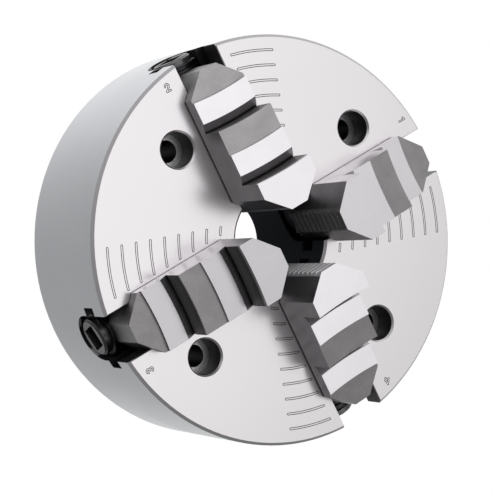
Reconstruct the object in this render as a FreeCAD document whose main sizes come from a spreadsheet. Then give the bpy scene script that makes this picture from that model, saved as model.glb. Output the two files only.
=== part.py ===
"""Four-jaw independent lathe chuck, 200 mm.

Frame: millimetres, +Z along the chuck's axis and out of its front face, with the origin at the centre of
the back mounting face. Jaw 1 lies along +X, and the others follow counter-clockwise seen from the front.
Every jaw and every screw is drawn along +X and then turned to its own slot.
"""
import FreeCAD, Part
import math
import os
from types import SimpleNamespace

import Sketcher
from FreeCAD import Placement, Rotation, Vector

STATIONS = (1, 2, 3, 4)
QUARTER_TURN = 90.0
FULL_TURN = 360.0
Z_AXIS = Vector(0, 0, 1)
ORIGIN = Vector(0, 0, 0)

# Driving dimensions, in millimetres and degrees: the sheet's aliases, values and notes.
DIMENSIONS = (
    ("body_radius", 100.0, "outside radius of the body"),
    ("body_depth", 72.5, "back face to front face"),
    ("front_chamfer", 1.4, "chamfer round the front rim"),
    ("back_chamfer", 1.0, "chamfer round the back rim"),
    ("bore_radius", 25.0, "central through bore"),
    ("bore_chamfer", 1.2, "chamfer at the front of the bore"),
    ("recess_radius", 80.0, "register recess in the back"),
    ("recess_depth", 3.0, "depth of the register recess"),
    ("slot_half", 12.1, "half the width of a jaw slot"),
    ("slot_chamfer", 0.4, "chamfer along the slot's edges"),
    ("guide_half", 16.15, "half the width across the guide grooves"),
    ("guide_top", 12.2, "top of the guide grooves, below the face"),
    ("guide_bottom", 22.2, "bottom of the guide grooves, below the face"),
    ("screw_below", 26.5, "screw axis, below the face"),
    ("screw_bore", 12.0, "radius of the screw's bore"),
    ("hole_circle", 69.8, "radius of the mounting hole circle"),
    ("hole_angle", 25.1, "mounting hole, counter-clockwise from its jaw"),
    ("hole_radius", 5.5, "mounting hole's shank radius"),
    ("counterbore_radius", 8.6, "mounting hole's counterbore radius"),
    ("counterbore_depth", 13.0, "depth of the counterbore"),
    ("counterbore_chamfer", 0.85, "chamfer at the counterbore's mouth"),
    ("pocket_radius", 11.0, "radius of a thrust pocket"),
    ("pocket_centre", 60.0, "thrust pocket's distance from the chuck's axis"),
    ("pocket_fit", 0.05, "radial clearance of what sits in the pocket"),
    ("ring_groove_start", 4.6, "near side of the snap ring's groove"),
    ("ring_groove_width", 1.1, "width of the snap ring's groove"),
    ("ring_groove_depth", 0.5, "depth of the snap ring's groove"),
    ("ring_thickness", 1.0, "thickness of the snap ring"),
    ("ring_section", 2.4, "radial width of the snap ring"),
    ("ring_lug", 3.0, "radius of the snap ring's lugs"),
    ("ring_hole", 0.9, "radius of the holes in the lugs"),
    ("ring_gap", 4.0, "gap between the snap ring's ends"),
    ("plug_top", 24.0, "top of the plug, where the thrust block starts"),
    ("plug_dimple", 3.0, "radius of the threaded pulling hole in the plug"),
    ("plug_dimple_depth", 9.0, "depth of the pulling hole"),
    ("block_gap", 0.5, "thrust block's round stem, below the screw bore"),
    ("block_thickness", 7.84, "thickness of the thrust block's fork"),
    ("saddle_fit", 0.05, "radial clearance round the screw's neck"),
    ("thread_pitch", 3.0, "screw thread pitch, left-handed"),
    ("thread_crest", 11.5, "radius of the thread's crest"),
    ("thread_root", 10.0, "radius of the thread's root"),
    ("crest_half", 0.55, "half the width of the thread at its crest"),
    ("ridge_half", 0.95, "half the width of the thread at its root"),
    ("thread_fit", 0.2, "clearance of the jaw's thread on each flank"),
    ("crest_fit", 0.25, "clearance at the thread's crest and root"),
    ("thread_run", 0.4, "how far a thread cutter stands past the crest"),
    ("screw_start", 26.3, "inner end of the screw, from the chuck's axis"),
    ("thread_end", 95.9, "outer end of the thread"),
    ("screw_end", 99.3, "outer end of the screw"),
    ("head_radius", 9.7, "radius of the screw's plain head"),
    ("head_chamfer", 1.0, "chamfer round the head"),
    ("start_chamfer", 1.2, "chamfer round the screw's inner end"),
    ("neck_half", 4.0, "half the width of the thrust groove"),
    ("neck_radius", 8.0, "radius of the neck in the thrust groove"),
    ("socket_half", 5.5, "half the width of the square socket"),
    ("socket_depth", 13.0, "depth of the square socket"),
    ("socket_turn", 72.0, "turn of the socket from the thread's start"),
    ("jaw_half", 15.7, "half the width of a jaw above the face"),
    ("jaw_length", 74.1, "jaw's length from nose to outer end"),
    ("nose_half", 4.7, "half the width of the nose's flat"),
    ("nose_length", 10.8, "length of the nose's slanted faces"),
    ("face_gap", 0.5, "jaw's shoulder above the body's face"),
    ("web_half", 12.0, "half the width of the jaw in its slot"),
    ("tongue_half", 16.05, "half the width across the jaw's tongues"),
    ("tongue_top", 12.3, "top of the tongues, below the face"),
    ("tongue_bottom", 22.1, "bottom of the tongues, below the face"),
    ("jaw_bottom", 22.5, "underside of the jaw, below the face"),
    ("step_height", 12.0, "height of one step"),
    ("top_height", 32.0, "top land, above the face"),
    ("step_pitch", 27.8, "one step's distance to the next"),
    ("top_edge", 17.9, "outer edge of the top land, from the nose"),
    ("land_start", 4.7, "start of a lower land, after the riser"),
    ("land_end", 15.5, "end of a lower land, after the riser"),
    ("middle_drop", 1.2, "middle plain face, below its land"),
    ("outer_drop", 1.4, "outer plain face, below its land"),
    ("relief_depth", 2.8, "relief groove, below the next land"),
    ("relief_undercut", 0.6, "relief groove, under the riser"),
    ("relief_lip", 1.4, "start of the relief's undercut, above its bottom"),
    ("step_centre", 200.0, "centre of the steps' curves, from the nose"),
    ("serration_pitch", 4.2, "pitch of the grooves on the nose"),
    ("serration_depth", 0.85, "depth of the grooves on the nose"),
    ("serration_half", 1.05, "half the width of a groove on the nose"),
    ("mark_depth", 0.2, "depth of an engraved line"),
    ("mark_width", 0.35, "width of an engraved line"),
    ("ring_first", 33.7, "radius of the first setting ring"),
    ("ring_pitch", 7.33, "distance between setting rings"),
    ("ring_mark_half", 0.65, "half the width of a setting ring's outline"),
    ("ring_mark_start", 17.7, "start of the rings, beside the slot's centre"),
    ("fan_offset", 11.7, "end line of the rings, at the chuck's axis"),
    ("fan_slope", 0.331, "slope of the end line"),
    ("numeral_along", 91.3, "numeral's distance along its slot"),
    ("numeral_side", 20.6, "numeral's distance beside its slot"),
    ("numeral_height", 3.4, "height of a numeral's stroke line"),
    ("numeral_half", 0.55, "half the width of a numeral's outline"),
    ("jaw_1_tip", 17.8, "nose of jaw 1 from the chuck's axis"),
    ("jaw_2_tip", 17.7, "nose of jaw 2 from the chuck's axis"),
    ("jaw_3_tip", 19.1, "nose of jaw 3 from the chuck's axis"),
    ("jaw_4_tip", 15.6, "nose of jaw 4 from the chuck's axis"),
    ("mesh_tip", 18.8, "nose position in which a screw stands unturned"),
)
RING_COUNT = 9
SERRATION_COUNT = 12
STEP_SWING = 20.0        # degrees of turn that a step's cutter needs to cross the jaw
CUT_PAST = 2.0           # how far a cutter stands outside the solid that it cuts
ENGRAVE_ABOVE = 0.5      # how far an engraving cutter stands above the face
NUT_LEAD_IN = 4.5        # pitches by which the jaw's thread starts before the nose; the half puts
                         # the nut's groove over the screw's ridge
NUT_OVERRUN = 4          # pitches of the jaw's thread that lie outside the jaw
WEDGE_REACH = 3.0        # a pie slice's radius, in radii of the arc that it trims


class Size:
    """A number together with the spreadsheet formula that gives it."""

    def __init__(self, formula, value):
        self.formula = formula
        self.value = value

    def __add__(self, other):
        return joined(self, "+", other)

    def __radd__(self, other):
        return joined(other, "+", self)

    def __sub__(self, other):
        return joined(self, "-", other)

    def __rsub__(self, other):
        return joined(other, "-", self)

    def __mul__(self, other):
        return joined(self, "*", other)

    def __rmul__(self, other):
        return joined(other, "*", self)

    def __truediv__(self, other):
        return joined(self, "/", other)

    def __neg__(self):
        return joined(0.0, "-", self)


def as_size(item):
    """A Size as it is, or a plain number as a Size."""
    return item if isinstance(item, Size) else Size(f"{item:g}", float(item))


def joined(left, sign, right):
    """Two sizes joined by an arithmetic sign, as a value and as a formula."""
    left, right = as_size(left), as_size(right)
    values = {
        "+": lambda a, b: a + b,
        "-": lambda a, b: a - b,
        "*": lambda a, b: a * b,
        "/": lambda a, b: a / b,
    }
    return Size(f"({left.formula} {sign} {right.formula})", values[sign](left.value, right.value))


def make_sizes(doc):
    """Writes the spreadsheet, and returns its cells as Sizes under their own names."""
    sheet = doc.addObject("Spreadsheet::Sheet", "Sizes")
    for row, (alias, value, note) in enumerate(DIMENSIONS, start=1):
        sheet.set(f"A{row}", note)
        sheet.set(f"B{row}", str(value))
        sheet.setAlias(f"B{row}", alias)
    doc.recompute()
    return SimpleNamespace(**{alias: Size(f"Sizes.{alias}", value) for alias, value, _ in DIMENSIONS})


def bind(item, name, size):
    """Binds a property of an object to the sheet."""
    item.setExpression(name, as_size(size).formula)


# ---- sketches and features -------------------------------------------------------------------------

def new_body(doc, name):
    """An empty PartDesign body whose name is its label."""
    body = doc.addObject("PartDesign::Body", name)
    body.Label = name
    return body


def origin_feature(body, role):
    """One of a body's own origin planes or axes."""
    return next(item for item in body.Origin.OriginFeatures if item.Role == role)


def new_sketch(body, name, plane, offset=None):
    """A sketch on one of the body's origin planes, set off from it along its normal."""
    sketch = body.newObject("Sketcher::SketchObject", name)
    sketch.AttachmentSupport = [(origin_feature(body, plane), "")]
    sketch.MapMode = "FlatFace"
    if offset is not None:
        bind(sketch, "AttachmentOffset.Base.z", offset)
    return sketch


def hold(sketch, geometry, end, x, y):
    """Holds one point of a sketch at x and y from the sketch's origin."""
    for kind, axis, size in (("DistanceX", -2, as_size(x)), ("DistanceY", -1, as_size(y))):
        if size.value == 0.0:
            sketch.addConstraint(Sketcher.Constraint("PointOnObject", geometry, end, axis))
            continue
        index = sketch.addConstraint(Sketcher.Constraint(kind, -1, 1, geometry, end, size.value))
        name = f"{kind[-1].lower()}_{geometry}_{end}"
        sketch.renameConstraint(index, name)
        sketch.setExpression(f"Constraints.{name}", size.formula)


def add_polygon(sketch, points):
    """Adds a closed outline of straight edges through points given as pairs of Sizes."""
    points = [(as_size(x), as_size(y)) for x, y in points]
    corners = [Vector(x.value, y.value, 0) for x, y in points]
    first = sketch.GeometryCount
    count = len(corners)
    for number in range(count):
        edge = Part.LineSegment(corners[number], corners[(number + 1) % count])
        sketch.addGeometry(edge, False)
    for number in range(count):
        following = first + (number + 1) % count
        sketch.addConstraint(Sketcher.Constraint("Coincident", first + number, 2, following, 1))
        hold(sketch, first + number, 1, *points[number])


def add_circle(sketch, x, y, radius):
    """Adds a circle given by its centre and radius."""
    x, y, radius = as_size(x), as_size(y), as_size(radius)
    circle = Part.Circle(Vector(x.value, y.value, 0), Z_AXIS, radius.value)
    geometry = sketch.addGeometry(circle, False)
    hold(sketch, geometry, 3, x, y)
    index = sketch.addConstraint(Sketcher.Constraint("Radius", geometry, radius.value))
    name = f"radius_{geometry}"
    sketch.renameConstraint(index, name)
    sketch.setExpression(f"Constraints.{name}", radius.formula)


def swept(body, kind, name, sketch, length=None, reverse=False, symmetric=False):
    """A Pad or Pocket of a sketch; without a length, a Pocket runs through everything."""
    feature = body.newObject(f"PartDesign::{kind}", name)
    feature.Profile = sketch
    feature.Reversed = reverse
    if symmetric:
        feature.SideType = "Symmetric"
    if length is None:
        feature.Type = "ThroughAll"
    else:
        bind(feature, "Length", length)
    sketch.Visibility = False
    return feature


def turned(body, kind, name, sketch, axis, angle=FULL_TURN, symmetric=False):
    """A Revolution or Groove of a sketch about one of the sketch's own axes."""
    feature = body.newObject(f"PartDesign::{kind}", name)
    feature.Profile = sketch
    feature.ReferenceAxis = (sketch, [axis])
    feature.Angle = angle
    feature.Midplane = symmetric
    sketch.Visibility = False
    return feature


def threaded(body, name, sketch, pitch, height):
    """A left-handed helical groove about the sketch's horizontal axis."""
    feature = body.newObject("PartDesign::SubtractiveHelix", name)
    feature.Profile = sketch
    feature.ReferenceAxis = (sketch, ["H_Axis"])
    feature.Mode = "pitch-height-angle"
    bind(feature, "Pitch", pitch)
    bind(feature, "Height", height)
    feature.LeftHanded = True
    sketch.Visibility = False
    return feature


def four_round(body, name, originals):
    """Repeats cuts at all four stations, and makes the pattern the body's tip."""
    pattern = body.newObject("PartDesign::PolarPattern", name)
    pattern.Originals = originals
    pattern.Axis = (origin_feature(body, "Z_Axis"), [""])
    pattern.Angle = FULL_TURN
    pattern.Occurrences = len(STATIONS)
    body.Tip = pattern
    return pattern


def send_to_station(item, station, reach=None, spin=None):
    """Turns an object to its slot, after moving it outward by reach and spinning it about +X."""
    angle = QUARTER_TURN * (station - 1)
    turn = Rotation(Z_AXIS, angle)
    if spin is not None:
        turn = turn.multiply(Rotation(Vector(1, 0, 0), spin.value))
    item.Placement = Placement(ORIGIN, turn)
    if reach is not None:
        bind(item, "Placement.Base.x", reach * round(math.cos(math.radians(angle)), 9))
        bind(item, "Placement.Base.y", reach * round(math.sin(math.radians(angle)), 9))


# ---- the body --------------------------------------------------------------------------------------

def make_blank(doc, s):
    """The turned blank: rim, front face, through bore and register recess."""
    body = new_body(doc, "body_blank")
    profile = new_sketch(body, "blank_profile", "XZ_Plane")
    add_polygon(profile, (
        (s.bore_radius, s.recess_depth),
        (s.recess_radius, s.recess_depth),
        (s.recess_radius, 0),
        (s.body_radius - s.back_chamfer, 0),
        (s.body_radius, s.back_chamfer),
        (s.body_radius, s.body_depth - s.front_chamfer),
        (s.body_radius - s.front_chamfer, s.body_depth),
        (s.bore_radius + s.bore_chamfer, s.body_depth),
        (s.bore_radius, s.body_depth - s.bore_chamfer),
    ))
    turned(body, "Revolution", "turned_blank", profile, "V_Axis")
    return body


def cut_slots(body, s):
    """The four jaw slots with their guide grooves, and the four screw bores below them."""
    face = s.body_depth
    reach = s.body_radius + CUT_PAST
    slot = new_sketch(body, "slot_profile", "YZ_Plane")
    sides = (
        (s.slot_half, face - s.screw_below),
        (s.slot_half, face - s.guide_bottom),
        (s.guide_half, face - s.guide_bottom),
        (s.guide_half, face - s.guide_top),
        (s.slot_half, face - s.guide_top),
        (s.slot_half, face - s.slot_chamfer),
        (s.slot_half + s.slot_chamfer + CUT_PAST, face + CUT_PAST),
    )
    add_polygon(slot, sides + tuple((-x, y) for x, y in reversed(sides)))
    slot_cut = swept(body, "Pocket", "slot_cut", slot, reach, reverse=True)
    bore = new_sketch(body, "screw_bore_profile", "YZ_Plane")
    add_circle(bore, 0, face - s.screw_below, s.screw_bore)
    bore_cut = swept(body, "Pocket", "screw_bore_cut", bore, reach, reverse=True)
    four_round(body, "slots", [slot_cut, bore_cut])


def cut_mounting_holes(body, s):
    """The four counterbored mounting holes, each turned about its own axis as one groove."""
    hole = new_sketch(body, "hole_profile", "XZ_Plane")
    face = s.body_depth
    mouth = s.counterbore_radius + s.counterbore_chamfer + CUT_PAST
    add_polygon(hole, (
        (0, -CUT_PAST),
        (s.hole_radius, -CUT_PAST),
        (s.hole_radius, face - s.counterbore_depth),
        (s.counterbore_radius, face - s.counterbore_depth),
        (s.counterbore_radius, face - s.counterbore_chamfer),
        (mouth, face + CUT_PAST),
        (0, face + CUT_PAST),
    ))
    turn = Placement(ORIGIN, Rotation(Z_AXIS, s.hole_angle.value))
    aside = turn.multVec(Vector(s.hole_circle.value, 0, 0))
    hole.AttachmentOffset = Placement(Vector(aside.x, 0, -aside.y), Rotation())
    bind(hole, "AttachmentOffset.Base.x", Size(
        "(Sizes.hole_circle * cos(Sizes.hole_angle))", aside.x))
    bind(hole, "AttachmentOffset.Base.z", Size(
        "(0 - Sizes.hole_circle * sin(Sizes.hole_angle))", -aside.y))
    hole_cut = turned(body, "Groove", "hole_cut", hole, "V_Axis")
    four_round(body, "mounting_holes", [hole_cut])


def cut_thrust_pockets(body, s):
    """The four blind pockets from the back, each with a snap ring groove near its mouth."""
    pocket = new_sketch(body, "pocket_profile", "XZ_Plane")
    bind(pocket, "AttachmentOffset.Base.x", s.pocket_centre)
    groove_radius = s.pocket_radius + s.ring_groove_depth
    groove_end = s.ring_groove_start + s.ring_groove_width
    add_polygon(pocket, (
        (0, 0),
        (s.pocket_radius, 0),
        (s.pocket_radius, s.ring_groove_start),
        (groove_radius, s.ring_groove_start),
        (groove_radius, groove_end),
        (s.pocket_radius, groove_end),
        (s.pocket_radius, s.body_depth - s.screw_below),
        (0, s.body_depth - s.screw_below),
    ))
    pocket_cut = turned(body, "Groove", "pocket_cut", pocket, "V_Axis")
    four_round(body, "thrust_pockets", [pocket_cut])


# ---- engraved marks --------------------------------------------------------------------------------

def arc_through(centre, radius, start, end):
    """An arc of a circle in the XY plane, between two angles in degrees."""
    circle = Part.Circle(centre, Z_AXIS, radius)
    return Part.Arc(circle, math.radians(start), math.radians(end)).toShape()


def obround_face(radius, half, start, end):
    """A strip with round ends that follows a circle about the chuck's axis, between two angles."""
    ends = []
    for angle, side in ((end, 0.0), (start, 180.0)):
        centre = Placement(ORIGIN, Rotation(Z_AXIS, angle)).multVec(Vector(radius, 0, 0))
        ends.append(arc_through(centre, half, angle + side, angle + side + 180.0))
    outer = arc_through(ORIGIN, radius + half, start, end)
    inner = arc_through(ORIGIN, radius - half, start, end)
    wire = Part.Wire(Part.__sortEdges__([outer, ends[0], inner, ends[1]]))
    return Part.Face(wire)


def setting_ring(s, number):
    """One setting ring beside the +X slot, as the thin outline of a round-ended strip."""
    radius = s.ring_first.value + s.ring_pitch.value * number
    start = math.degrees(math.asin(s.ring_mark_start.value / radius))
    offset, slope = s.fan_offset.value, s.fan_slope.value
    spread = math.sqrt(radius ** 2 * (1.0 + slope ** 2) - offset ** 2)
    along = (spread - offset * slope) / (1.0 + slope ** 2)
    end = math.degrees(math.acos(along / radius))
    half = s.ring_mark_half.value
    whole = obround_face(radius, half, -end, -start)
    return whole.cut(obround_face(radius, half - s.mark_width.value, -end, -start))


def numeral_lines(number):
    """The stroke line of a numeral in a box one unit high, centred on the origin."""
    if number == 1:
        points = ((-0.22, 0.28), (0.06, 0.5), (0.06, -0.5))
        return Part.makePolygon([Vector(x, y, 0) for x, y in points])
    if number == 2:
        bowl = arc_through(Vector(0, 0.22, 0), 0.28, -40.0, 180.0)
        low = Placement(Vector(0, 0.22, 0), Rotation(Z_AXIS, -40.0)).multVec(Vector(0.28, 0, 0))
        foot = Part.makePolygon([low, Vector(-0.3, -0.5, 0), Vector(0.32, -0.5, 0)])
        return Part.Wire(Part.__sortEdges__([bowl] + foot.Edges))
    if number == 3:
        upper = arc_through(Vector(0, 0.25, 0), 0.25, -90.0, 160.0)
        lower = arc_through(Vector(0, -0.25, 0), 0.25, -160.0, 90.0)
        return Part.Wire(Part.__sortEdges__([upper, lower]))
    points = ((0.14, -0.5), (0.14, 0.5), (-0.34, -0.2), (0.34, -0.2))
    return Part.makePolygon([Vector(x, y, 0) for x, y in points])


def stroke_solid(line, half, height):
    """Everything within half of a stroke line, raised to height: a bar with round ends and joints."""
    bars = []
    rise = Vector(0, 0, height)
    for edge in line.Edges:
        ends = [vertex.Point for vertex in edge.Vertexes]
        if edge.Curve.TypeId == "Part::GeomLine":
            way = (ends[1] - ends[0]).normalize()
            side = Vector(-way.y, way.x, 0) * half
            corners = [ends[0] - side, ends[1] - side, ends[1] + side, ends[0] + side]
            bars.append(Part.Face(Part.makePolygon(corners + corners[:1])).extrude(rise))
        else:
            centre, radius = edge.Curve.Center, edge.Curve.Radius
            outer = Part.makeCylinder(radius + half, height, centre)
            inner = Part.makeCylinder(radius - half, height, centre)
            first, last = edge.ParameterRange
            wedge = sector_face(centre, radius * WEDGE_REACH, math.degrees(first), math.degrees(last))
            bars.append(outer.cut(inner).common(wedge.extrude(rise)))
        bars += [Part.makeCylinder(half, height, end) for end in ends]
    whole = bars[0].fuse(bars[1:])
    return whole.removeSplitter()


def sector_face(centre, radius, start, end):
    """A pie slice of a circle, between two angles in degrees."""
    rim = arc_through(centre, radius, start, end)
    tips = [vertex.Point for vertex in rim.Vertexes]
    spokes = [Part.makeLine(centre, tip) for tip in tips]
    return Part.Face(Part.Wire(Part.__sortEdges__([rim] + spokes)))


def numeral(s, number, height):
    """The cutter of one outlined numeral beside the +X slot, upright when its slot points up."""
    line = numeral_lines(number)
    line.scale(s.numeral_height.value)
    half = s.numeral_half.value
    island = stroke_solid(line, half - s.mark_width.value, height)
    cutter = stroke_solid(line, half, height).cut(island)
    turn = Rotation(Z_AXIS, -QUARTER_TURN)
    cutter.Placement = Placement(Vector(s.numeral_along.value, s.numeral_side.value, 0), turn)
    return cutter


def make_marks(doc, s):
    """All engraved lines of the front face, as one set of shallow cutters.

    Outlines of curved strips fit neither sketches nor primitives, so they are set as shapes here.
    """
    marks = []
    height = s.mark_depth.value + ENGRAVE_ABOVE
    for station in STATIONS:
        cutters = [setting_ring(s, ring).extrude(Vector(0, 0, height)) for ring in range(RING_COUNT)]
        cutters.append(numeral(s, station, height))
        for cutter in cutters:
            if cutter.Volume <= 0:
                raise RuntimeError(f"an engraving cutter at station {station} is empty")
            cutter.translate(Vector(0, 0, s.body_depth.value - s.mark_depth.value))
            cutter.rotate(ORIGIN, Z_AXIS, QUARTER_TURN * (station - 1))
            marks.append(cutter)
    marks_feature = doc.addObject("Part::Feature", "marks")
    marks_feature.Shape = Part.makeCompound(marks)
    return marks_feature


def make_chuck_body(doc, s):
    """The whole body: blank, slots, holes and pockets, then the engraved marks."""
    blank = make_blank(doc, s)
    cut_slots(blank, s)
    cut_mounting_holes(blank, s)
    cut_thrust_pockets(blank, s)
    engraved = doc.addObject("Part::Cut", "chuck_body")
    engraved.Base = blank
    engraved.Tool = make_marks(doc, s)
    return engraved


# ---- jaws ------------------------------------------------------------------------------------------

def jaw_blank(body, s):
    """The jaw's outline seen from the front, as deep as the whole jaw."""
    outline = new_sketch(body, "jaw_outline", "XY_Plane", s.body_depth - s.jaw_bottom)
    shoulder = s.jaw_length - s.nose_length
    half = (
        (0, s.nose_half),
        (s.nose_length, s.tongue_half),
        (shoulder, s.tongue_half),
        (s.jaw_length, s.nose_half),
    )
    add_polygon(outline, half + tuple((x, -y) for x, y in reversed(half)))
    swept(body, "Pad", "jaw_block", outline, s.jaw_bottom + s.top_height)


def cut_jaw_section(body, s):
    """Cuts the jaw's section: the head over the face, the web in the slot and the two tongues."""
    face = s.body_depth
    far = s.tongue_half + CUT_PAST
    below = face - s.jaw_bottom - CUT_PAST
    for name, side in (("left", 1), ("right", -1)):
        head = new_sketch(body, f"{name}_head_profile", "YZ_Plane")
        add_polygon(head, tuple((side * x, y) for x, y in (
            (far, face + s.top_height + CUT_PAST),
            (s.jaw_half, face + s.top_height + CUT_PAST),
            (s.jaw_half, face + s.face_gap),
            (s.web_half, face + s.face_gap),
            (s.web_half, face - s.tongue_top),
            (far, face - s.tongue_top),
        )))
        swept(body, "Pocket", f"{name}_head_cut", head, s.jaw_length, reverse=True)
        foot = new_sketch(body, f"{name}_foot_profile", "YZ_Plane")
        add_polygon(foot, tuple((side * x, y) for x, y in (
            (s.web_half, face - s.tongue_bottom),
            (far, face - s.tongue_bottom),
            (far, below),
            (s.web_half, below),
        )))
        swept(body, "Pocket", f"{name}_foot_cut", foot, s.jaw_length, reverse=True)


def cut_jaw_steps(body, s):
    """Turns the three steps, with their relief grooves, about a far upright axis."""
    face = s.body_depth
    top = face + s.top_height
    above = top + CUT_PAST
    line = [(s.jaw_length + s.nose_length, above), (s.top_edge, above)]
    for step, drop in ((1, s.middle_drop), (2, s.outer_drop)):
        land = top - s.step_height * step
        riser = s.top_edge + s.step_pitch * (step - 1)
        bottom = land - s.relief_depth
        riser_end = riser + s.step_pitch if step == 1 else s.jaw_length + s.nose_length
        line += [
            (riser, bottom + s.relief_lip),
            (riser - s.relief_undercut, bottom),
            (riser + s.land_start, land),
            (riser + s.land_end, land),
            (riser + s.land_end, land - drop),
            (riser_end, land - drop),
        ]
    steps = new_sketch(body, "step_profile", "XZ_Plane")
    bind(steps, "AttachmentOffset.Base.x", s.step_centre)
    add_polygon(steps, [(x - s.step_centre, y) for x, y in line])
    turned(body, "Groove", "step_cut", steps, "V_Axis", STEP_SWING, symmetric=True)


def cut_jaw_thread(body, s):
    """The half nut under the jaw: a round trough, and the screw's thread cut in it with clearance."""
    axis = s.body_depth - s.screw_below
    trough = new_sketch(body, "trough_profile", "YZ_Plane")
    add_circle(trough, 0, axis, s.thread_root + s.crest_fit)
    swept(body, "Pocket", "trough_cut", trough, s.jaw_length, reverse=True)
    ridge = new_sketch(body, "nut_profile", "XZ_Plane")
    bind(ridge, "AttachmentOffset.Base.y", axis)
    start = s.screw_start - s.mesh_tip - s.thread_pitch * NUT_LEAD_IN
    bottom = s.thread_root - s.crest_fit
    top = s.thread_crest + s.crest_fit
    lean = (s.ridge_half - s.crest_half) / (s.thread_crest - s.thread_root)
    wide = s.ridge_half + s.thread_fit + lean * s.crest_fit
    narrow = s.crest_half + s.thread_fit - lean * s.crest_fit
    add_polygon(ridge, (
        (start - wide, bottom),
        (start + wide, bottom),
        (start + narrow, top),
        (start - narrow, top),
    ))
    threaded(body, "nut_thread", ridge, s.thread_pitch, s.jaw_length + s.thread_pitch * NUT_OVERRUN)


def cut_jaw_serrations(body, s):
    """The level grooves across the nose's flat."""
    grooves = new_sketch(body, "serration_profile", "XZ_Plane")
    top = s.body_depth + s.top_height
    for number in range(1, SERRATION_COUNT + 1):
        level = top - s.serration_pitch * number
        add_polygon(grooves, (
            (-CUT_PAST, level - s.serration_half),
            (0, level - s.serration_half),
            (s.serration_depth, level),
            (0, level + s.serration_half),
            (-CUT_PAST, level + s.serration_half),
        ))
    swept(body, "Pocket", "serrations", grooves, s.jaw_half * 2, symmetric=True)


def make_jaw(doc, s, station):
    """One jaw, set in its slot at its own distance from the chuck's axis."""
    body = new_body(doc, f"jaw_{station}")
    jaw_blank(body, s)
    cut_jaw_section(body, s)
    cut_jaw_steps(body, s)
    cut_jaw_serrations(body, s)
    cut_jaw_thread(body, s)
    send_to_station(body, station, reach=tip_of(s, station))
    return body


def tip_of(s, station):
    """How far a jaw's nose stands from the chuck's axis at rest."""
    return getattr(s, f"jaw_{station}_tip")


# ---- screws ----------------------------------------------------------------------------------------

def screw_profile(s):
    """Half the screw's section along its own axis, the thread still a plain cylinder."""
    neck_in = s.pocket_centre - s.neck_half
    neck_out = s.pocket_centre + s.neck_half
    return (
        (s.screw_start, 0),
        (s.screw_end, 0),
        (s.screw_end, s.head_radius - s.head_chamfer),
        (s.screw_end - s.head_chamfer, s.head_radius),
        (s.thread_end, s.head_radius),
        (s.thread_end, s.thread_crest),
        (neck_out, s.thread_crest),
        (neck_out, s.neck_radius),
        (neck_in, s.neck_radius),
        (neck_in, s.thread_crest),
        (s.screw_start + s.start_chamfer, s.thread_crest),
        (s.screw_start, s.thread_crest - s.start_chamfer),
    )


def make_screw(doc, s, station):
    """One operating screw, turned as far as its jaw stands from the unturned position."""
    body = new_body(doc, f"operating_screw_{station}")
    profile = new_sketch(body, "screw_profile", "XZ_Plane")
    add_polygon(profile, screw_profile(s))
    turned(body, "Revolution", "screw_blank", profile, "H_Axis")
    groove = new_sketch(body, "thread_profile", "XZ_Plane")
    start = s.screw_start - s.thread_pitch
    lean = (s.ridge_half - s.crest_half) / (s.thread_crest - s.thread_root)
    root_half = s.thread_pitch / 2 - s.ridge_half
    mouth_half = s.thread_pitch / 2 - s.crest_half + lean * s.thread_run
    top = s.thread_crest + s.thread_run
    add_polygon(groove, (
        (start - root_half, s.thread_root),
        (start + root_half, s.thread_root),
        (start + mouth_half, top),
        (start - mouth_half, top),
    ))
    # One pitch of the groove lies outside the screw at each end, so its thread is cut all round.
    threaded(body, "screw_thread", groove, s.thread_pitch, s.screw_end - s.screw_start + s.thread_pitch)
    socket = new_sketch(body, "socket_profile", "YZ_Plane", s.screw_end)
    socket.AttachmentOffset = Placement(ORIGIN, Rotation(Z_AXIS, s.socket_turn.value))
    bind(socket, "AttachmentOffset.Base.z", s.screw_end)
    side = s.socket_half
    add_polygon(socket, ((side, side), (-side, side), (-side, -side), (side, -side)))
    swept(body, "Pocket", "socket", socket, s.socket_depth)
    spin = (tip_of(s, station) - s.mesh_tip) * FULL_TURN / s.thread_pitch
    send_to_station(body, station, spin=spin)
    bind(body, "Placement.Base.z", s.body_depth - s.screw_below)
    return body


# ---- thrust blocks, plugs and snap rings -----------------------------------------------------------

def make_thrust_block(doc, s, station):
    """The hardened fork that holds a screw by its neck: a round stem and a flat fork."""
    body = new_body(doc, f"thrust_block_{station}")
    radius = s.pocket_radius - s.pocket_fit
    axis = s.body_depth - s.screw_below
    stem_top = axis - s.screw_bore - s.block_gap
    disc = new_sketch(body, "block_outline", "XY_Plane", s.plug_top)
    add_circle(disc, s.pocket_centre, 0, radius)
    swept(body, "Pad", "block_round", disc, axis - s.saddle_fit * 2 - s.plug_top)
    for name, side in (("inner", -1), ("outer", 1)):
        cheek = new_sketch(body, f"{name}_cheek_profile", "XZ_Plane")
        near = s.pocket_centre + side * s.block_thickness / 2
        far = s.pocket_centre + side * (radius + CUT_PAST)
        top = axis + CUT_PAST
        add_polygon(cheek, ((near, stem_top), (far, stem_top), (far, top), (near, top)))
        swept(body, "Pocket", f"{name}_cheek_cut", cheek, radius * 2 + CUT_PAST, symmetric=True)
    saddle = new_sketch(body, "saddle_profile", "YZ_Plane")
    add_circle(saddle, 0, axis, s.neck_radius + s.saddle_fit)
    swept(body, "Pocket", "saddle_cut", saddle, s.body_radius, reverse=True)
    send_to_station(body, station)
    return body


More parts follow.
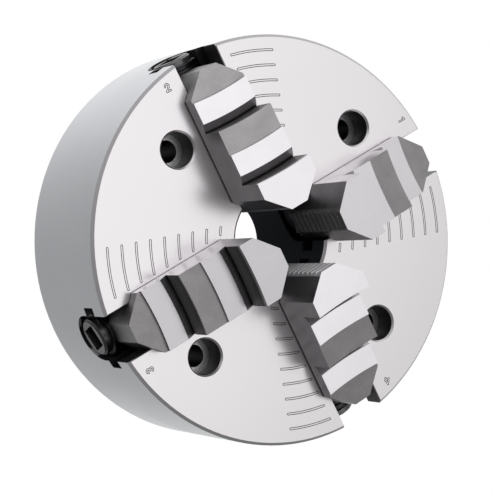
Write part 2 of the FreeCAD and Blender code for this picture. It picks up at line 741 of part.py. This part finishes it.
def make_block_plug(doc, s, station):
    """The plain plug under a thrust block, with a blind pulling hole in its outer end."""
    body = new_body(doc, f"block_plug_{station}")
    start = s.ring_groove_start + s.ring_groove_width
    disc = new_sketch(body, "plug_outline", "XY_Plane", start)
    add_circle(disc, s.pocket_centre, 0, s.pocket_radius - s.pocket_fit)
    swept(body, "Pad", "plug_round", disc, s.plug_top - start)
    pull = new_sketch(body, "pull_hole_outline", "XY_Plane", start)
    add_circle(pull, s.pocket_centre, 0, s.plug_dimple)
    swept(body, "Pocket", "pull_hole", pull, s.plug_dimple_depth, reverse=True)
    send_to_station(body, station)
    return body


def make_snap_ring(doc, s, station):
    """The internal snap ring: an open ring whose two ends are lugs with holes."""
    name = f"snap_ring_{station}"
    base = s.ring_groove_start + (s.ring_groove_width - s.ring_thickness) / 2
    outer = s.pocket_radius + s.ring_groove_depth - s.pocket_fit
    inner = outer - s.ring_section
    lug_offset = s.ring_gap / 2 + s.ring_lug / 2
    lug_along = s.pocket_centre - inner + s.ring_lug / 4

    def disc(label, radius, x, y, depth, from_base=0.0):
        item = doc.addObject("Part::Cylinder", f"{name}_{label}")
        bind(item, "Radius", radius)
        bind(item, "Height", depth)
        bind(item, "Placement.Base.x", x)
        bind(item, "Placement.Base.y", y)
        bind(item, "Placement.Base.z", base - from_base)
        return item

    rim = disc("rim", outer, s.pocket_centre, 0, s.ring_thickness)
    lugs = [disc(f"lug_{side}", s.ring_lug, lug_along, lug_offset * sign, s.ring_thickness)
            for side, sign in (("left", 1), ("right", -1))]
    hollow = disc("hollow", inner, s.pocket_centre, 0, s.ring_thickness + 2 * CUT_PAST, CUT_PAST)
    gap = doc.addObject("Part::Box", f"{name}_gap")
    bind(gap, "Length", outer)
    bind(gap, "Width", s.ring_gap)
    bind(gap, "Height", s.ring_thickness + 2 * CUT_PAST)
    bind(gap, "Placement.Base.x", s.pocket_centre - outer - CUT_PAST)
    bind(gap, "Placement.Base.y", -s.ring_gap / 2)
    bind(gap, "Placement.Base.z", base - CUT_PAST)
    holes = [disc(f"hole_{side}", s.ring_hole, lug_along, lug_offset * sign,
                  s.ring_thickness + 2 * CUT_PAST, CUT_PAST)
             for side, sign in (("left", 1), ("right", -1))]
    band = doc.addObject("Part::Cut", f"{name}_band")
    band.Base, band.Tool = rim, hollow
    eared = doc.addObject("Part::MultiFuse", f"{name}_eared")
    eared.Shapes = [band] + lugs
    within = doc.addObject("Part::Common", f"{name}_within")
    within.Base = eared
    within.Tool = disc("bound", outer, s.pocket_centre, 0, s.ring_thickness)
    openings = doc.addObject("Part::MultiFuse", f"{name}_openings")
    openings.Shapes = [gap] + holes
    ring = doc.addObject("Part::Cut", name)
    ring.Base, ring.Tool = within, openings
    send_to_station(ring, station)
    return ring


# ---- the whole chuck -------------------------------------------------------------------------------

def check_document(doc):
    """Stops if any object of the document failed."""
    for item in doc.Objects:
        if any(word in item.State for word in ("Invalid", "Error")):
            raise RuntimeError(f"{item.Name} failed: {item.State}")


def write_steps(nodes):
    """Checks each sub-part's shape and writes it to parts/ under its label."""
    os.makedirs("parts", exist_ok=True)
    for node in nodes:
        shape = node.Shape
        if shape.isNull() or not shape.isValid() or len(shape.Solids) != 1:
            raise RuntimeError(f"{node.Label} is not one valid solid")
        shape.exportStep(f"parts/{node.Label}.step")
        print(f"{node.Label:22s} {shape.Volume / 1000.0:9.2f} cm3")


def main():
    doc = FreeCAD.newDocument("LatheChuck")
    sizes = make_sizes(doc)
    nodes = [make_chuck_body(doc, sizes)]
    for station in STATIONS:
        nodes.append(make_jaw(doc, sizes, station))
        nodes.append(make_screw(doc, sizes, station))
        nodes.append(make_thrust_block(doc, sizes, station))
        nodes.append(make_block_plug(doc, sizes, station))
        nodes.append(make_snap_ring(doc, sizes, station))
    doc.recompute()
    check_document(doc)
    write_steps(nodes)


main()
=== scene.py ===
"""Studio scene of a four-jaw independent lathe chuck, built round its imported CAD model.

Everything stands in the CAD's own frame: +Z runs along the chuck's axis and out of its front face, the
origin is the centre of the back mounting face, and jaw 1 lies along +X. Every visible shape is the CAD's
own. This script gives each CAD node its finish, and adds the floor, the light and the camera. Objects are
placed in metres; finishes are laid out in millimetres, and move with the node that wears them.
"""
import math

import bpy
from mathutils import Matrix, Vector

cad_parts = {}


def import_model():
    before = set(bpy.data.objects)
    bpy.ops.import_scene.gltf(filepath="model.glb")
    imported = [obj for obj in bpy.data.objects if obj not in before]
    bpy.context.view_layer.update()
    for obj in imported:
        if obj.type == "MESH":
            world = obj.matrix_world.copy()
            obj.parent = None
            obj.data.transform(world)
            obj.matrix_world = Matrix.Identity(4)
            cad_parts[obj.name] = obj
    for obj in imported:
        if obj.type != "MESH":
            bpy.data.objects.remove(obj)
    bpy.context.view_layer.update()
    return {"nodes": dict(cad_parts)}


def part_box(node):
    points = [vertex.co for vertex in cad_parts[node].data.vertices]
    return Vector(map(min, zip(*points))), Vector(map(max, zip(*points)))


STATIONS = (1, 2, 3, 4)
QUARTER_TURN = 90.0
MILLIMETRES = 1000.0

# The camera: where it stands, the way from the chuck to it given by two angles in degrees, and its roll.
CAMERA_PLACE = Vector((-0.351727, 0.170007, 0.750192))
CAMERA_AZIMUTH = 153.8264
CAMERA_OFF_AXIS = 28.6922
CAMERA_ROLL = 88.0167
CAMERA_LENS = 117.66
CAMERA_SENSOR = 36.0
CAMERA_FAR = 200.0

# The floor, and the dim card that closes the bore from below: half sizes and heights in metres.
FLOOR_HALF = 30.0
FLAG_HALF = 0.035
FLAG_HEIGHT = -0.0005
FLAG_LIGHT = 0.085
FLAG_WARMTH = -0.10

# The studio's light: an even low level, and soft boxes, each given by its direction, the angles in
# degrees at which it starts and reaches its full strength, and that strength.
ROOM_LIGHT = 0.14
STUDIO_LIGHTS = (
    ((0.26, 0.02, 0.965), 40.0, 12.0, 1.08),
    ((0.80, 0.0, -0.60), 80.0, 25.0, 0.80),
    ((0.10, 0.60, 0.10), 70.0, 20.0, 0.75),
    ((0.0, 0.0, -1.0), 80.0, 20.0, 0.42),
)
WHITE = (1.0, 1.0, 1.0, 1.0)

# Where one finish gives way to another: each edge is (place, softness to either side), and each band is
# (middle, half width, softness). First the body's, in millimetres: heights above the back face, and
# radii from the chuck's axis.
FACE_HEIGHT = 72.5
FACE_EDGE = (FACE_HEIGHT - 0.08, 0.04)
MARK_BAND = (FACE_HEIGHT - 0.2, 0.08, 0.02)
MOUTH_EDGE = (FACE_HEIGHT - 1.4, 0.1)
SEAT_BAND = (59.5, 0.2, 0.05)
BORE_EDGE = (26.0, 0.2)
HOLES_EDGE = (98.2, 0.1)
CHAMFER_EDGE = (98.4, 0.1)
RIM_EDGE = (99.935, 0.035)

# A jaw's, in millimetres: heights above the back face, and distances outward from the jaw's nose. The
# ground lands are told from the plain steps by their heights. Beyond the steps lies the outer end.
GROUND_LANDS = (104.5, 92.5, 80.5)
LAND_REACH = (0.4, 0.05)
# Where the painted highlight along the risers' top lip begins: the inner height, and beyond the outer riser
# edge, the outer height.
INNER_LIP_HIGHLIGHT_EDGE = (GROUND_LANDS[0] - 1.75, 1.45)
OUTER_LIP_HIGHLIGHT_EDGE = (GROUND_LANDS[1] - 1.75, 1.45)
OUTER_RISER_EDGE = (33.5, 1.5)
STEPS_EDGE = (61.0, 1.0)
NOSE_EDGE = (1.4, 0.2)
# Painted shade under the jaw's shoulders above the first height, and a painted shadow line along the jaw's
# base between the next two.
UNDERCUT_EDGE = (FACE_HEIGHT + 1.1, 0.1)
SHADOW_LINE_TOP_EDGE = (FACE_HEIGHT + 0.95, 0.1)
SHADOW_LINE_BOTTOM_EDGE = (FACE_HEIGHT - 0.1, 0.1)

# A screw's, in millimetres from the chuck's axis.
HEAD_EDGE = (95.95, 0.15)
SCREW_END_EDGE = (99.2, 0.05)

# And by the way a surface faces: the part of its normal along a direction.
FACES_UP = (0.875, 0.075)
FACES_DOWN = (-0.875, 0.075)
FACES_SQUARELY = (0.935, 0.035)
STANDS_UPRIGHT = (0.15, 0.05)
BEVEL_BAND = (0.707, 0.15, 0.05)
FACES_OUTWARD = (0.89, 0.04)
FACES_ALONG = (0.30, 0.10)
FACES_INWARD = (-0.45, 0.15)
SLOPES_FROM = (0.15, 0.05)
SLOPES_TO = (0.85, 0.05)
UNDERSIDE = (-0.10, 0.05)
FACES_ACROSS = (0.20, 0.10)

# Finishes: the two greys that each is mottled between, as (reflectance, warmth, violet cast).
VIOLET_CAST = 0.026
FACE_GREYS = ((0.79, 0.006), (0.82, 0.004))
RIM_GREYS = ((0.50, -0.035, 0.01), (0.54, -0.030, 0.01))
# The slot, hole and bore walls are painted near black as shade.
HOLE_SHADE_GREYS = ((0.016, -0.10), (0.024, -0.10))
BORE_SHADE_GREYS = ((0.036, -0.10), (0.054, -0.10))
SEAT_GREYS = ((0.62,), (0.80,))
BACK_GREYS = ((0.46,), (0.54,))
END_GREYS = ((0.27,), (0.35,))
# The risers run from painted shade low down to a painted highlight along their top lip.
RISER_SHADE_AND_HIGHLIGHT_GREYS = ((0.16,), (0.85,))
OXIDE_GREYS = ((0.040, -0.04), (0.075, -0.04))
HEAD_GREYS = ((0.12,), (0.20,))
SOCKET_RING_GREYS = ((0.15,), (0.20,))
BLOCK_GREYS = ((0.035,), (0.060,))
PLUG_GREYS = ((0.36,), (0.44,))
SNAP_RING_GREYS = ((0.05,), (0.08,))
# The marks' tone is painted shade on the floors of the engraved marks.
MARK_GROOVE_SHADE_TONE = 0.05
MOUTH_TONE = 0.78
CHAMFER_TONE = 0.52
# Painted shade for the jaws' reliefs and undercuts, and for the painted shadow line along each jaw's base.
PAINTED_SHADE_TONE = 0.014

# Each jaw's ground lands, plain steps, flanks and nose, as reflectances: they differ from jaw to jaw as
# painted light and shade, each jaw lighter or darker by how the light falls on it.
JAW_LIGHT_AND_SHADE_TONES = {
    1: (0.63, 0.385, 0.83, 0.21),
    2: (0.80, 0.54, 0.47, 0.49),
    3: (0.53, 0.405, 0.84, 0.49),
    4: (0.81, 0.32, 0.58, 0.62),
}
# How far each of those strays either side of its reflectance, as a share of it.
LAND_SPREAD = 0.02
STEP_SPREAD = 0.10
FLANK_SPREAD = 0.10
NOSE_SPREAD = 0.14
STEP_WARMTH = 0.01

# Noise patterns, as (scale per millimetre, detail, roughness), and the levels that they turn between.
TURNED_CIRCLES = (1.2, 3.0, 0.6)
TURNED_RINGS = (2.2, 4.0, 0.7)
BROAD_CLOUD = (0.018, 3.0)
BODY_FINE = (1.1, 3.0, 0.6)
JAW_GRAIN = (1.6, 4.0, 0.7)
JAW_CLOUD = (0.09, 3.0, 0.6)
JAW_SPECK = (4.0, 2.0, 0.6)
SCREW_FINE = (1.5, 3.0, 0.6)
PLAIN_FINE = (1.2, 3.0, 0.6)
HARD_TURN = (0.35, 0.65)
SOFT_TURN = (0.3, 0.7)
ROUGHNESS_SWING = 0.02

# Roughness of each finish, how far dark and bevelled surfaces are metal, and the fine relief's depth.
HOLE_ROUGHNESS = 0.42
FACE_ROUGHNESS = 0.30
TURNED_ROUGHNESS = 0.34
FLANK_ROUGHNESS = 0.33
END_ROUGHNESS = 0.45
LAND_ROUGHNESS = 0.24
STEP_ROUGHNESS = 0.55
OXIDE_ROUGHNESS = 0.38
SOCKET_RING_ROUGHNESS = 0.42
BLOCK_ROUGHNESS = 0.40
PLUG_ROUGHNESS = 0.36
SNAP_RING_ROUGHNESS = 0.30
DARK_METAL = 0.30
CHAMFER_METAL = 0.0
NOSE_METAL = 0.25
BODY_RELIEF = 0.001
JAW_RELIEF = 0.04
PLAIN_RELIEF = 0.03


class Graph:
    """Short calls for building one node tree."""

    def __init__(self, tree):
        self.tree = tree
        tree.nodes.clear()

    def feed(self, socket, value):
        """Links a socket to another, or gives it a plain value."""
        if isinstance(value, bpy.types.NodeSocket):
            self.tree.links.new(value, socket)
        else:
            socket.default_value = value

    def node(self, kind, inputs=None, **settings):
        """A node of that kind with its settings and inputs."""
        node = self.tree.nodes.new(kind)
        for name, value in settings.items():
            setattr(node, name, value)
        for name, value in (inputs or {}).items():
            self.feed(node.inputs[name], value)
        return node

    def math(self, operation, *values):
        """One arithmetic step."""
        node = self.node("ShaderNodeMath", operation=operation)
        for socket, value in zip(node.inputs, values):
            self.feed(socket, value)
        return node.outputs[0]

    def step(self, value, low, high, start=0.0, end=1.0):
        """A smooth change from start to end as value goes from low to high."""
        node = self.node("ShaderNodeMapRange", interpolation_type="SMOOTHSTEP")
        names = ("Value", "From Min", "From Max", "To Min", "To Max")
        for name, item in zip(names, (value, low, high, start, end)):
            self.feed(node.inputs[name], item)
        return node.outputs["Result"]

    def above(self, value, edge, soft):
        """1 where value is above an edge, which is as soft as given to each side."""
        return self.step(value, edge - soft, edge + soft)

    def below(self, value, edge, soft):
        """1 where value is below an edge, which is as soft as given to each side."""
        return self.step(value, edge + soft, edge - soft)

    def band(self, value, middle, half, soft):
        """1 where value is within half of middle, and 0 elsewhere."""
        return self.below(self.size(self.math("SUBTRACT", value, middle)), half, soft)

    def size(self, value):
        """A value without its sign."""
        return self.math("ABSOLUTE", value)

    def other(self, mask):
        """1 where a mask is 0."""
        return self.math("SUBTRACT", 1.0, mask)

    def both(self, *masks):
        """1 where all masks are 1."""
        result = masks[0]
        for mask in masks[1:]:
            result = self.math("MULTIPLY", result, mask)
        return result

    def either(self, *masks):
        """1 where any mask is 1."""
        result = masks[0]
        for mask in masks[1:]:
            result = self.math("MAXIMUM", result, mask)
        return result

    def tint(self, factor, first, second):
        """A blend of two colours."""
        node = self.node("ShaderNodeMix", data_type="RGBA")
        for index, value in ((0, factor), (6, first), (7, second)):
            self.feed(node.inputs[index], value)
        return node.outputs[2]

    def level(self, factor, first, second):
        """A blend of two numbers."""
        node = self.node("ShaderNodeMix", data_type="FLOAT")
        for index, value in ((0, factor), (2, first), (3, second)):
            self.feed(node.inputs[index], value)
        return node.outputs[0]

    def noise(self, place, scale, detail=2.0, roughness=0.5, dimensions="3D"):
        """Fractal noise from 0 to 1, over a vector or, in one dimension, along a number."""
        node = self.node("ShaderNodeTexNoise", noise_dimensions=dimensions)
        self.feed(node.inputs["W" if dimensions == "1D" else "Vector"], place)
        for name, value in (("Scale", scale), ("Detail", detail), ("Roughness", roughness)):
            self.feed(node.inputs[name], value)
        return node.outputs["Fac"]

    def mottled(self, pattern, greys):
        """A blend of two greys by a pattern from 0 to 1."""
        dark, light = greys
        return self.tint(pattern, grey(*dark), grey(*light))

    def glow(self, colour, strength):
        """Ends a material with plain light of its own."""
        light = self.node("ShaderNodeEmission", {"Color": colour, "Strength": strength})
        out = self.node("ShaderNodeOutputMaterial")
        self.feed(out.inputs["Surface"], light.outputs["Emission"])


def grey(value, warmth=0.0, violet=VIOLET_CAST):
    """A steel grey, a little warmer or cooler, with a faint violet cast."""
    return (value * (1.0 + warmth), value * (1.0 - violet), value * (1.0 - warmth), 1.0)


def around(middle, spread, warmth=0.0):
    """The two greys that stray either side of a middle reflectance, by a share of it."""
    return (middle * (1.0 - spread), warmth), (middle * (1.0 + spread), warmth)


def new_material(name):
    """A node material and its graph."""
    material = bpy.data.materials.new(name)
    material.use_nodes = True
    return material, Graph(material.node_tree)


def millimetres(graph):
    """The point in the object's own frame in millimetres: (vector, x, y, z, radius about +Z)."""
    point = graph.node("ShaderNodeTexCoord").outputs["Object"]
    scaled = graph.node("ShaderNodeVectorMath", {0: point}, operation="SCALE")
    scaled.inputs["Scale"].default_value = MILLIMETRES
    vector = scaled.outputs["Vector"]
    split = graph.node("ShaderNodeSeparateXYZ", {0: vector})
    x, y, z = (split.outputs[index] for index in range(3))
    squares = graph.math("ADD", graph.math("MULTIPLY", x, x), graph.math("MULTIPLY", y, y))
    return vector, x, y, z, graph.math("SQRT", squares)


def facing(graph):
    """The surface's own direction: (x, y, z) in the object's frame."""
    normal = graph.node("ShaderNodeTexCoord").outputs["Normal"]
    split = graph.node("ShaderNodeSeparateXYZ", {0: normal})
    return tuple(split.outputs[index] for index in range(3))


def finish_metal(graph, colour, roughness, height, relief_depth, metallic=1.0):
    """Ends a material with a metal shader and fine relief, its depth in millimetres."""
    surface = {"Base Color": colour, "Roughness": roughness, "Metallic": metallic}
    shader = graph.node("ShaderNodeBsdfPrincipled", surface)
    bump = {"Height": height, "Strength": 1.0, "Distance": relief_depth / MILLIMETRES}
    relief = graph.node("ShaderNodeBump", bump)
    graph.feed(shader.inputs["Normal"], relief.outputs["Normal"])
    out = graph.node("ShaderNodeOutputMaterial")
    graph.feed(out.inputs["Surface"], shader.outputs["BSDF"])


def body_material():
    """The body: a ground front face and a turned rim and back; slots, holes and bores painted near black as
    shade, and painted shade on the floors of the engraved marks.
    """
    material, g = new_material("body_steel")
    vector, _, _, z, radius = millimetres(g)
    _, _, up = facing(g)
    level_up = g.above(up, *FACES_UP)
    bevel = g.band(up, *BEVEL_BAND)

    front = g.both(g.above(z, *FACE_EDGE), level_up)
    mark_groove_shade = g.both(g.band(z, *MARK_BAND), level_up)
    turned_rim = g.both(g.above(radius, *RIM_EDGE), g.other(front))
    chamfer = g.both(g.above(radius, *CHAMFER_EDGE), g.other(turned_rim), bevel)
    back = g.below(up, *FACES_DOWN)
    seat = g.both(g.band(z, *SEAT_BAND), level_up)
    mouths = g.both(bevel, g.above(z, *MOUTH_EDGE), g.below(radius, *HOLES_EDGE))
    in_bore = g.below(radius, *BORE_EDGE)

    circles = g.noise(radius, *TURNED_CIRCLES, dimensions="1D")
    rings = g.noise(z, *TURNED_RINGS, dimensions="1D")
    broad = g.noise(vector, *BROAD_CLOUD)
    fine = g.noise(vector, *BODY_FINE)
    mottle = g.step(fine, *HARD_TURN)

    # Painted shade: slot, hole and bore walls near black.
    colour = g.tint(in_bore, g.mottled(mottle, HOLE_SHADE_GREYS), g.mottled(mottle, BORE_SHADE_GREYS))
    colour = g.tint(front, colour, g.mottled(g.step(broad, *HARD_TURN), FACE_GREYS))
    # Painted shade on the engraved marks' floors.
    colour = g.tint(mark_groove_shade, colour, grey(MARK_GROOVE_SHADE_TONE))
    colour = g.tint(seat, colour, g.mottled(mottle, SEAT_GREYS))
    colour = g.tint(mouths, colour, grey(MOUTH_TONE))
    colour = g.tint(turned_rim, colour, g.mottled(g.step(rings, *HARD_TURN), RIM_GREYS))
    colour = g.tint(chamfer, colour, grey(CHAMFER_TONE))
    colour = g.tint(back, colour, g.mottled(g.step(circles, *SOFT_TURN), BACK_GREYS))

    roughness = g.level(front, HOLE_ROUGHNESS, FACE_ROUGHNESS)
    turned = g.either(turned_rim, chamfer, back, seat, mouths)
    roughness = g.level(turned, roughness, TURNED_ROUGHNESS)
    swing = g.step(broad, *SOFT_TURN, -ROUGHNESS_SWING, ROUGHNESS_SWING)
    roughness = g.math("ADD", roughness, swing)
    height = g.level(g.either(front, back), rings, circles)
    bright = g.either(front, turned_rim, back, seat, mouths)
    metal = g.level(chamfer, g.level(bright, DARK_METAL, 1.0), CHAMFER_METAL)
    finish_metal(g, colour, roughness, height, BODY_RELIEF, metal)
    return material


def along_slot(graph, station, x, y):
    """The part of (x, y) that lies along a jaw's slot, outward."""
    angle = math.radians(QUARTER_TURN * (station - 1))
    way_x, way_y = round(math.cos(angle)), round(math.sin(angle))
    return graph.math("ADD", graph.math("MULTIPLY", x, way_x), graph.math("MULTIPLY", y, way_y))


def jaw_material(station, nose, land, plain, flank, tip):
    """A hardened jaw: ground lands and flanks, matt steps and ends; risers with painted shade below and a
    painted highlight at their lip, painted shade in the reliefs and undercuts, and a painted shadow line
    along its base.
    """
    material, g = new_material(f"jaw_steel_{station}")
    vector, x, y, z, _ = millimetres(g)
    side_x, side_y, up = facing(g)
    along = g.math("SUBTRACT", along_slot(g, station, x, y), nose)
    outward = along_slot(g, station, side_x, side_y)

    level_up = g.above(up, *FACES_SQUARELY)
    lands = [g.band(z, height, *LAND_REACH) for height in GROUND_LANDS]
    ground = g.both(g.either(*lands), level_up)
    steps = g.both(level_up, g.other(ground))
    upright = g.below(g.size(up), *STANDS_UPRIGHT)
    riser = g.both(upright, g.above(outward, *FACES_OUTWARD), g.below(along, *STEPS_EDGE))
    ends = g.both(upright, g.above(g.size(outward), *FACES_ALONG), g.other(riser))
    nose_flat = g.both(g.below(outward, *FACES_INWARD), g.below(along, *NOSE_EDGE))
    slopes = g.both(g.above(up, *SLOPES_FROM), g.below(up, *SLOPES_TO))
    undercut = g.both(g.below(up, *UNDERSIDE), g.above(z, *UNDERCUT_EDGE))
    relief = g.both(g.either(slopes, undercut), g.other(nose_flat))
    # A painted shadow line along the jaw's base, on its sides.
    base = g.both(g.below(z, *SHADOW_LINE_TOP_EDGE), g.above(z, *SHADOW_LINE_BOTTOM_EDGE))
    base_shadow_line = g.both(base, g.below(g.size(outward), *FACES_ACROSS))
    # A painted highlight along the risers' top lip.
    inner_lip_highlight = g.above(z, *INNER_LIP_HIGHLIGHT_EDGE)
    outer_lip_highlight = g.both(g.above(along, *OUTER_RISER_EDGE), g.above(z, *OUTER_LIP_HIGHLIGHT_EDGE))
    lip_highlight = g.either(inner_lip_highlight, outer_lip_highlight)

    grain = g.noise(vector, *JAW_GRAIN)
    mottle = g.step(g.level(0.5, grain, g.noise(vector, *JAW_CLOUD)), *HARD_TURN)
    speck = g.noise(vector, *JAW_SPECK)

    colour = g.mottled(mottle, around(flank, FLANK_SPREAD))
    colour = g.tint(ends, colour, g.mottled(mottle, END_GREYS))
    colour = g.tint(nose_flat, colour, g.mottled(mottle, around(tip, NOSE_SPREAD)))
    # Risers: painted shade, lightening to a painted highlight at the lip.
    colour = g.tint(riser, colour, g.mottled(lip_highlight, RISER_SHADE_AND_HIGHLIGHT_GREYS))
    colour = g.tint(ground, colour, g.mottled(mottle, around(land, LAND_SPREAD)))
    colour = g.tint(steps, colour, g.mottled(mottle, around(plain, STEP_SPREAD, STEP_WARMTH)))
    # Painted shade in the reliefs and undercuts, and the painted shadow line along the base.
    colour = g.tint(g.either(relief, base_shadow_line), colour, grey(PAINTED_SHADE_TONE))

    roughness = g.level(g.either(ends, riser), FLANK_ROUGHNESS, END_ROUGHNESS)
    roughness = g.level(ground, roughness, LAND_ROUGHNESS)
    roughness = g.level(steps, roughness, STEP_ROUGHNESS)
    height = g.level(ground, g.level(0.5, grain, speck), 0.5)
    finish_metal(g, colour, roughness, height, JAW_RELIEF, g.level(nose_flat, 1.0, NOSE_METAL))
    return material


def screw_material(station):
    """A blackened screw with a brushed ring round its square socket."""
    material, g = new_material(f"black_oxide_{station}")
    vector, _, _, _, radius = millimetres(g)
    side_x, side_y, _ = facing(g)
    end = g.above(radius, *SCREW_END_EDGE)
    across = g.size(side_y if station % 2 == 0 else side_x)
    ring = g.both(end, g.above(across, *FACES_SQUARELY))
    head = g.both(g.above(radius, *HEAD_EDGE), g.other(end))
    fine = g.noise(vector, *SCREW_FINE)
    mottle = g.step(fine, *HARD_TURN)
    colour = g.mottled(mottle, OXIDE_GREYS)
    colour = g.tint(head, colour, g.mottled(mottle, HEAD_GREYS))
    colour = g.tint(ring, colour, g.mottled(mottle, SOCKET_RING_GREYS))
    roughness = g.level(ring, OXIDE_ROUGHNESS, SOCKET_RING_ROUGHNESS)
    finish_metal(g, colour, roughness, fine, PLAIN_RELIEF)
    return material


def plain_metal(name, greys, roughness):
    """A plain machined or blackened steel with fine mottling."""
    material, g = new_material(name)
    vector, *_ = millimetres(g)
    fine = g.noise(vector, *PLAIN_FINE)
    finish_metal(g, g.mottled(g.step(fine, *HARD_TURN), greys), roughness, fine, PLAIN_RELIEF)
    return material


def nose_distance(station):
    """How far a jaw's nose stands from the chuck's axis, in millimetres."""
    low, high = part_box(f"jaw_{station}")
    index = 0 if station % 2 else 1
    return MILLIMETRES * min(abs(low[index]), abs(high[index]))


def clothe(node, material):
    """Gives a CAD node its one material."""
    node.data.materials.clear()
    node.data.materials.append(material)


def clothe_chuck(nodes):
    """Gives every CAD node its finish."""
    clothe(nodes["chuck_body"], body_material())
    block = plain_metal("blackened_block", BLOCK_GREYS, BLOCK_ROUGHNESS)
    plug = plain_metal("turned_plug", PLUG_GREYS, PLUG_ROUGHNESS)
    ring = plain_metal("spring_ring", SNAP_RING_GREYS, SNAP_RING_ROUGHNESS)
    for station in STATIONS:
        clothe(nodes[f"jaw_{station}"], jaw_material(station, nose_distance(station), *JAW_LIGHT_AND_SHADE_TONES[station]))
        clothe(nodes[f"operating_screw_{station}"], screw_material(station))
        clothe(nodes[f"thrust_block_{station}"], block)
        clothe(nodes[f"block_plug_{station}"], plug)
        clothe(nodes[f"snap_ring_{station}"], ring)


def make_card(name, half, height, material_name, colour, strength):
    """A level square that glows evenly, centred on the chuck's axis, as part of the studio."""
    mesh = bpy.data.meshes.new(name)
    sides = ((-half, -half), (half, -half), (half, half), (-half, half))
    mesh.from_pydata([(x, y, height) for x, y in sides], [], [(0, 1, 2, 3)])
    card = bpy.data.objects.new(name, mesh)
    bpy.context.scene.collection.objects.link(card)
    material, g = new_material(material_name)
    g.glow(colour, strength)
    mesh.materials.append(material)
    return card


def make_floor():
    """A plain white floor that neither lights nor shades anything."""
    floor = make_card("floor", FLOOR_HALF, 0.0, "floor_white", WHITE, 1.0)
    floor.visible_glossy = False
    floor.visible_diffuse = False
    floor.visible_shadow = False


def make_bore_flag():
    """A dim card under the bore, unseen by the camera, that keeps bright light from coming up it."""
    flag = make_card("bore_flag", FLAG_HALF, FLAG_HEIGHT, "flag_dim", grey(1.0, FLAG_WARMTH), FLAG_LIGHT)
    flag.visible_camera = False


def make_world():
    """A dim room with soft boxes overhead, to two sides and below; the camera sees it plain white."""
    world = bpy.data.worlds.new("studio")
    bpy.context.scene.world = world
    world.use_nodes = True
    g = Graph(world.node_tree)
    way = g.node("ShaderNodeTexCoord").outputs["Generated"]

    def soft_box(direction, wide, narrow, strength):
        """Light from round a direction, which fades between two angles in degrees."""
        toward = Vector(direction).normalized()
        dot = g.node("ShaderNodeVectorMath", {0: way, 1: tuple(toward)}, operation="DOT_PRODUCT")
        edge, full = (math.cos(math.radians(angle)) for angle in (wide, narrow))
        return g.step(dot.outputs["Value"], edge, full, 0.0, strength)

    total = ROOM_LIGHT
    for settings in STUDIO_LIGHTS:
        total = g.math("ADD", total, soft_box(*settings))
    shown = g.node("ShaderNodeLightPath").outputs["Is Camera Ray"]
    back = g.node("ShaderNodeBackground", {"Color": WHITE, "Strength": g.level(shown, total, 1.0)})
    out = g.node("ShaderNodeOutputWorld")
    g.feed(out.inputs["Surface"], back.outputs["Background"])


def make_camera():
    """The camera, in front of the chuck and to one side, on a long lens."""
    azimuth, tilt, roll = (math.radians(a) for a in (CAMERA_AZIMUTH, CAMERA_OFF_AXIS, CAMERA_ROLL))
    toward = Vector((math.sin(tilt) * math.cos(azimuth), math.sin(tilt) * math.sin(azimuth), math.cos(tilt)))
    level = (-toward).cross(Vector((0, 0, 1))).normalized()
    upright = level.cross(-toward)
    right = math.cos(roll) * level + math.sin(roll) * upright
    up = -math.sin(roll) * level + math.cos(roll) * upright
    data = bpy.data.cameras.new("camera")
    data.lens = CAMERA_LENS
    data.sensor_width = CAMERA_SENSOR
    data.sensor_fit = "HORIZONTAL"
    data.clip_end = CAMERA_FAR
    camera = bpy.data.objects.new("camera", data)
    turn = Matrix((right, up, toward)).transposed()
    camera.matrix_world = Matrix.Translation(CAMERA_PLACE) @ turn.to_4x4()
    bpy.context.scene.collection.objects.link(camera)
    bpy.context.scene.camera = camera


def main():
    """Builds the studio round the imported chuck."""
    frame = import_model()
    clothe_chuck(frame["nodes"])
    make_floor()
    make_bore_flag()
    make_world()
    make_camera()
    view = bpy.context.scene.view_settings
    view.view_transform = "Standard"
    view.look = "None"


main()
